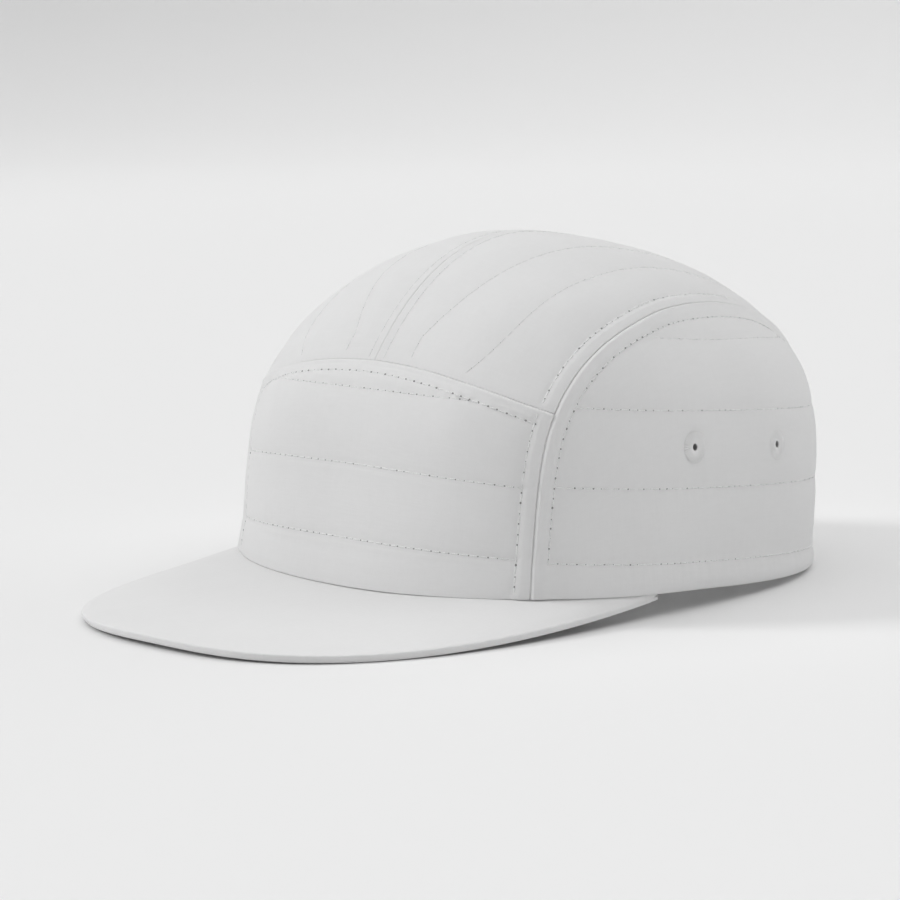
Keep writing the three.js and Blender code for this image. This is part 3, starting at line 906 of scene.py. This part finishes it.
def build_peak():
    middle, to_rim, thickness = peak_grids()
    points = middle.reshape(-1, 3)
    ripple = waves(points, (31.0, 47.0, 60.0), 0.10, 71) + waves(points, SMALL_WAVES, 0.012, 72)
    ripple = ripple.reshape(to_rim.shape) * smooth(to_rim, 0, 10)
    along = as_line(middle[:, -1])["length"]
    gathers = 0.08 * pucker(along, 2.0)[:, None] * np.exp(-(((to_rim - 1.4) / 1.4) ** 2))
    ridge = 0.10 * np.exp(-(((to_rim - 2.6) / 1.3) ** 2)) + gathers
    curl = np.minimum(rolled(to_rim, *rim_roll), thickness / 2 - 0.05)
    outwards = middle[:, -1] - middle[:, -4]
    outwards[:, 2] = 0
    outwards /= np.linalg.norm(outwards, axis=1, keepdims=True)
    top, bottom = middle.copy(), middle.copy()
    bottom -= outwards[:, None] * (rim_undercut * (1 - smooth(to_rim, 0, 4)))[..., None]
    top[..., 2] += ripple + ridge - curl
    bottom[..., 2] = np.maximum(middle[..., 2] - thickness + ripple + curl, 0)
    flat = stacked(middle[..., 0], middle[..., 1])
    _, facing = middle_face(top)
    peak = cloth_mesh("peak_cloth", top, bottom, flat, peak_cotton, flip=bool(facing[2] < 0))
    worn_by(peak, "peak")
    print("the peak's rim is", round(float(along[-1])), "mm long")
    return peak


peak = build_peak()

# %% [markdown]
# Stitches repeat thousands of times along curves, which is what Geometry Nodes do well. The tree
# walks along a path, puts one short arc of thread at each step, turns it to follow the path and to
# stand off the cloth, and ends as plain faces with a material. Half a step on, between two
# stitches, a flat dark disc is painted shade: it stands for the shadow in the needle's hole. The
# same tree, with its threads turned across the path, sews the ring of an eyelet.

# %% A tree that sews along a path
def sewing_tree():
    tree = bpy.data.node_groups.new("sew along a path", "GeometryNodeTree")
    sockets = tree.interface
    sockets.new_socket("Path", in_out="INPUT", socket_type="NodeSocketGeometry")
    for name in ("Pitch", "Stitch length", "Thread width", "Rise", "Turn", "Hole"):
        sockets.new_socket(name, in_out="INPUT", socket_type="NodeSocketFloat")
    for name in ("Thread", "Hole shade"):
        sockets.new_socket(name, in_out="INPUT", socket_type="NodeSocketMaterial")
    sockets.new_socket("Stitches", in_out="OUTPUT", socket_type="NodeSocketGeometry")
    given = add_node(tree, "NodeGroupInput").outputs
    half, back, sunk, radius, lifted, half_step, hole_lift = [
        add_node(tree, "ShaderNodeMath", {0: given[size], 1: times}, operation="MULTIPLY").outputs[0]
        for size, times in (("Stitch length", 0.5), ("Stitch length", -0.5), ("Rise", -1.0),
                            ("Thread width", 0.5), ("Rise", 2.0), ("Pitch", 0.5), ("Hole", 0.1))]
    start = add_node(tree, "ShaderNodeCombineXYZ", {"X": back, "Z": sunk})
    middle = add_node(tree, "ShaderNodeCombineXYZ", {"Z": lifted})
    end = add_node(tree, "ShaderNodeCombineXYZ", {"X": half, "Z": sunk})
    arc = add_node(tree, "GeometryNodeCurveQuadraticBezier", {
        "Resolution": 5, "Start": start.outputs[0], "Middle": middle.outputs[0],
        "End": end.outputs[0]})
    round_profile = add_node(tree, "GeometryNodeCurvePrimitiveCircle", {
        "Resolution": 6, "Radius": radius})
    thread = add_node(tree, "GeometryNodeCurveToMesh", {
        "Curve": arc.outputs[0], "Profile Curve": round_profile.outputs[0], "Fill Caps": True})
    path = add_node(tree, "GeometryNodeMeshToCurve", {"Mesh": given["Path"]})
    steps = add_node(tree, "GeometryNodeResampleCurve", {
        "Curve": path.outputs[0], "Length": given["Pitch"]}, mode="LENGTH")
    out = add_node(
        tree, "GeometryNodeInputNamedAttribute", {"Name": "out"}, data_type="FLOAT_VECTOR")
    along = add_node(tree, "GeometryNodeInputTangent")
    facing = add_node(tree, "FunctionNodeAxesToRotation", {
        "Primary Axis": out.outputs[0], "Secondary Axis": along.outputs[0]},
        primary_axis="Z", secondary_axis="X")
    spin = add_node(tree, "FunctionNodeAxisAngleToRotation", {
        "Axis": (0, 0, 1), "Angle": given["Turn"]})
    turned = add_node(tree, "FunctionNodeRotateRotation", {
        "Rotation": facing.outputs[0], "Rotate By": spin.outputs[0]}, rotation_space="LOCAL")
    placed = add_node(tree, "GeometryNodeInstanceOnPoints", {
        "Points": steps.outputs[0], "Instance": thread.outputs[0], "Rotation": turned.outputs[0]})
    real = add_node(tree, "GeometryNodeRealizeInstances", {"Geometry": placed.outputs[0]})
    dressed = add_node(tree, "GeometryNodeSetMaterial", {
        "Geometry": real.outputs[0], "Material": given["Thread"]})
    # Between the stitches, a flat disc of the dark hole shade is painted shade for the needle's
    # hole.
    forward = add_node(tree, "ShaderNodeCombineXYZ", {"X": half_step, "Z": hole_lift})
    shade_disc = add_node(tree, "GeometryNodeMeshIcoSphere", {
        "Radius": given["Hole"], "Subdivisions": 2})
    flat_shade_disc = add_node(tree, "GeometryNodeTransform", {
        "Geometry": shade_disc.outputs[0], "Translation": forward.outputs[0],
        "Scale": (1.1, 0.85, 0.3)})
    uneven = add_node(tree, "FunctionNodeRandomValue", {2: 0.72, 3: 1.1, "Seed": 7})
    placed_shade_discs = add_node(tree, "GeometryNodeInstanceOnPoints", {
        "Points": steps.outputs[0], "Instance": flat_shade_disc.outputs[0],
        "Rotation": turned.outputs[0], "Scale": uneven.outputs[1]})
    real_shade_discs = add_node(tree, "GeometryNodeRealizeInstances", {"Geometry": placed_shade_discs.outputs[0]})
    shaded = add_node(tree, "GeometryNodeSetMaterial", {
        "Geometry": real_shade_discs.outputs[0], "Material": given["Hole shade"]})
    both = add_node(tree, "GeometryNodeJoinGeometry")
    tree.links.new(dressed.outputs[0], both.inputs[0])
    tree.links.new(shaded.outputs[0], both.inputs[0])
    add_node(tree, "NodeGroupOutput", {"Stitches": both.outputs[0]})
    return tree


stitching = sewing_tree()


def sew(name, paths, material, pitch=stitch_pitch, length=stitch_length, width=thread_width,
        rise=0.18, turn=0.0, hole=needle_hole_shade):
    """Sews along paths of (points, out) in metres, and returns the stitches as a plain mesh."""
    points, outs, edges = [], [], []
    for places, out in paths:
        first = len(points)
        points += places.tolist()
        outs += out.tolist()
        edges += [(n, n + 1) for n in range(first, len(points) - 1)]
    mesh = bpy.data.meshes.new(f"{name} path")
    mesh.from_pydata(points, edges, [])
    layer = mesh.attributes.new("out", "FLOAT_VECTOR", "POINT")
    layer.data.foreach_set("vector", np.array(outs).ravel())
    item = in_scene(name, mesh)
    modifier = item.modifiers.new("stitches", "NODES")
    modifier.node_group = stitching
    named = {socket.name: socket.identifier for socket in stitching.interface.items_tree}
    values = {"Pitch": pitch * MM, "Stitch length": length * MM, "Thread width": width * MM,
              "Rise": rise * MM, "Turn": turn, "Hole": hole * MM, "Thread": material,
              "Hole shade": hole_shade}
    for title, value in values.items():
        modifier[named[title]] = value
    ready = item.evaluated_get(bpy.context.evaluated_depsgraph_get())
    sewn = bpy.data.meshes.new_from_object(ready)
    item.modifiers.remove(modifier)
    item.data = sewn
    sewn.name = name
    sewn.shade_smooth()
    return item


# %% [markdown]
# Each row is laid on the finished cloth, not on the smooth crown: a ray cast at the panel from 3 mm
# outside gives the height, so that the thread sits in its own dimple.

# %% Rows of stitches
def laid_on(cloth, row, side, sink=0.02):
    """Points of a row on a panel's surface, one in four, with the way that the cloth faces."""
    picked = row["points"][::4]
    turn = np.array([side or 1, 1, 1])
    guess = standing(picked + crown_normals(picked) * 0.4) * turn * MM
    out = crown_normals(picked)
    out = (standing(picked + out) - standing(picked)) * turn
    places = []
    for point, facing in zip(guess, out):
        hit, place, _, _ = cloth.ray_cast(tuple(point + facing * 3 * MM), tuple(-facing))
        places.append(np.array(place) - facing * sink * MM if hit else point)
    places = np.array(places)
    soft = places.copy()
    soft[1:-1] = (places[:-2] + 2 * places[1:-1] + places[2:]) / 4
    return soft, out


def sew_rows(title, kind, **sizes):
    paths = [laid_on(cloth, row, side) for cloth, (name, side, _) in zip(panels, panel_list)
             for row in panel_rows[name][kind]]
    stitches = sew(title, paths, seam_thread, **sizes)
    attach(stitches, "root")
    print(title, "has", len(stitches.data.polygons), "faces")
    return stitches


bpy.context.view_layer.update()
sew_rows("seam_stitches", "seam")
sew_rows("quilt_stitches", "quilt", width=0.44, rise=0.15, hole=0.28)
sew_rows("faint_stitches", "faint", width=0.34, rise=0.06, hole=0.16)

# %% [markdown]
# An eyelet in such a cap is not metal: thread is sewn round and round a small hole until it makes a
# flat ring. The ring below is a low swelling turned round the hole, and the threads lie across it
# side by side. The wall of the hole is coloured dark: painted shade for the hole's shadow.

# %% Sewn eyelets
ring_profile = [                       # radius and height, from the back of the hole and round
    (1.2, -2.4), (1.1, -0.8), (1.15, -0.1), (1.6, 0.14), (2.6, 0.24), (3.8, 0.2),
    (4.6, 0.04), (5.0, -0.18), (4.6, -0.6), (3.4, -0.9), (2.2, -2.4)]
# The hole's wall is coloured with the dark hole shade: painted shade.
painted_shade_rows = 2                        # the first two faces of the profile are the hole's wall
ring_sides = 48


def spokes_about(facing, angle):
    """Directions across the way the cloth faces, one for each angle."""
    first = np.cross(facing, [0, 0, 1.0])
    first /= np.linalg.norm(first)
    second = np.cross(facing, first)
    return np.cos(angle)[:, None] * first + np.sin(angle)[:, None] * second


def padded_ring(name, place, facing):
    """The padding under the threads, with the wall of the hole."""
    spokes = spokes_about(facing, np.linspace(0, 2 * math.pi, ring_sides, endpoint=False))
    points = np.array([
        [place + radius * spoke + height * facing for radius, height in ring_profile]
        for spoke in spokes])
    count = len(ring_profile)
    faces = []
    for n in range(ring_sides):
        m = (n + 1) % ring_sides
        for k in range(count):
            j = (k + 1) % count
            faces.append((n * count + k, m * count + k, m * count + j, n * count + j))
    mesh = bpy.data.meshes.new(name)
    mesh.from_pydata((points.reshape(-1, 3) * MM).tolist(), [], faces)
    # The wall of the hole gets the dark hole shade, which is painted shade. The rest is thread.
    mesh.materials.append(eyelet_thread)
    mesh.materials.append(hole_shade)
    for face in mesh.polygons:
        face.material_index = int(face.index % count < painted_shade_rows)
    mesh.shade_smooth()
    return in_scene(name, mesh)


def sew_eyelet(end, side):
    place, facing = eyelet_places[end]
    turn = np.array([side, 1, 1])
    out = (standing(place + facing) - standing(place)) * turn
    seat = standing(place) * turn
    title = f"eyelet_{'left' if side > 0 else 'right'}_{end}"
    base = padded_ring(f"{title}_ring", seat, out)
    spokes = spokes_about(out, np.linspace(0, 2 * math.pi, 97))
    circle = seat + out * 0.14 + (eyelet_radius + eyelet_hole_radius) / 2 * spokes
    outs = np.repeat(out[None], len(circle), axis=0)
    threads = sew(f"{title}_threads", [(circle * MM, outs)], eyelet_thread, pitch=0.56,
                  length=eyelet_radius - eyelet_hole_radius + 0.3, width=0.5, rise=0.17,
                  turn=math.pi / 2, hole=0.01)
    for item in (base, threads):
        worn_by(item, title)


for end in eyelet_offsets:
    for side in (1, -1):
        sew_eyelet(end, side)

# %% [markdown]
# A pale cap on a pale ground is drawn by soft shade alone. The ground is a wide round sweep: a
# floor that curves up far away, so that no horizon shows. Most of the light comes from a broad soft
# light overhead. A smaller one stands to the left, so the front is a step lighter than the side and
# a soft shadow falls to the right. A third, behind the right, lifts the far end of the side, and a
# little light comes from all round. Distant lights are used, because a near lamp would leave a
# bright pool on the floor.

# %% Ground
def ground_paper(name, colour):
    material, tree = empty_material(name)
    place = add_node(tree, "ShaderNodeTexCoord")
    fibre = add_node(tree, "ShaderNodeTexNoise", {
        "Vector": place.outputs["Object"], "Scale": 40.0, "Detail": 3.0})
    rough = add_node(tree, "ShaderNodeMapRange", {
        "Value": fibre.outputs[0], "To Min": 0.85, "To Max": 0.95})
    surface = add_node(tree, "ShaderNodeBsdfPrincipled", {
        "Base Color": linear(colour), "Roughness": rough.outputs[0], "Specular IOR Level": 0.1})
    add_node(tree, "ShaderNodeOutputMaterial", {"Surface": surface.outputs[0]})
    return material


def build_ground(flat_radius=2.6, bend_radius=1.4, sides=96):
    profile = [(0.3 * n, 0.0) for n in range(int(flat_radius / 0.3) + 1)][1:]
    for n in range(1, 13):
        angle = n / 12 * math.pi / 2
        profile.append((flat_radius + bend_radius * math.sin(angle),
                        bend_radius * (1 - math.cos(angle))))
    points = [(0.0, 0.0, 0.0)]
    for radius, height in profile:
        for n in range(sides):
            angle = 2 * math.pi * n / sides
            points.append((radius * math.cos(angle), radius * math.sin(angle), height))
    faces = [(0, 1 + n, 1 + (n + 1) % sides) for n in range(sides)]
    for ring in range(len(profile) - 1):
        low, high = 1 + ring * sides, 1 + (ring + 1) * sides
        for n in range(sides):
            m = (n + 1) % sides
            faces.append((low + n, high + n, high + m, low + m))
    mesh = bpy.data.meshes.new("ground")
    mesh.from_pydata(points, [], faces)
    mesh.materials.append(ground_paper("pale studio paper", "#e9e9e9"))
    mesh.shade_smooth()
    in_scene("ground", mesh)


build_ground()

# %% Light
camera_azimuth, camera_elevation = 42.65, 8.37
turned_by = math.radians(camera_azimuth)
to_right = np.array([math.cos(turned_by), math.sin(turned_by), 0])
to_camera = np.array([math.sin(turned_by), -math.cos(turned_by), 0])


def distant_light(name, right, forward, up, softness, power):
    """Shines from a direction given as right, towards the camera and up, softness in degrees."""
    light = bpy.data.lights.new(name, "SUN")
    light.angle = math.radians(softness)
    light.energy = power
    item = in_scene(name, light)
    towards = Vector(right * to_right + forward * to_camera + np.array([0, 0, up]))
    item.rotation_euler = towards.to_track_quat("Z", "Y").to_euler()
    item.location = towards


distant_light("left", -0.85, 0, 0.52, softness=15, power=1.1)
distant_light("overhead", 0, 0, 1, softness=90, power=1.78)
distant_light("behind the right", 0.75, -0.45, 0.5, softness=60, power=0.81)
world = bpy.data.worlds.new("studio")
world.use_nodes = True
all_round = world.node_tree.nodes["Background"].inputs
all_round["Color"].default_value = (1, 1, 1, 1)
all_round["Strength"].default_value = 0.1
bpy.context.scene.world = world
bpy.context.scene.view_settings.view_transform = "Standard"

# %% [markdown]
# The camera stands low, a metre away, and sees the front and the wearer's left side. Its angle,
# distance and lens were found by fitting the cap's outline and seams to the picture that it is
# made after.

# %% Camera
def add_camera(distance=0.9927, aim_right=-0.0215, aim_height=0.0426, focal_pixels=2923.6,
               picture_pixels=900, sensor=36.0):
    elevation = math.radians(camera_elevation)
    back = math.cos(elevation) * to_camera + np.array([0, 0, math.sin(elevation)])
    aim = aim_right * to_right + np.array([0, middle_of_head * MM, aim_height])
    camera = bpy.data.cameras.new("camera")
    camera.lens = focal_pixels / picture_pixels * sensor
    camera.sensor_width = sensor
    camera.sensor_fit = "HORIZONTAL"
    camera.clip_end = 50
    item = in_scene("camera", camera)
    item.location = aim + back * distance
    item.rotation_euler = (math.pi / 2 - elevation, 0, turned_by)
    bpy.context.scene.camera = item
    print("lens", round(camera.lens, 1), "mm, from", [round(v, 3) for v in item.location])


add_camera()
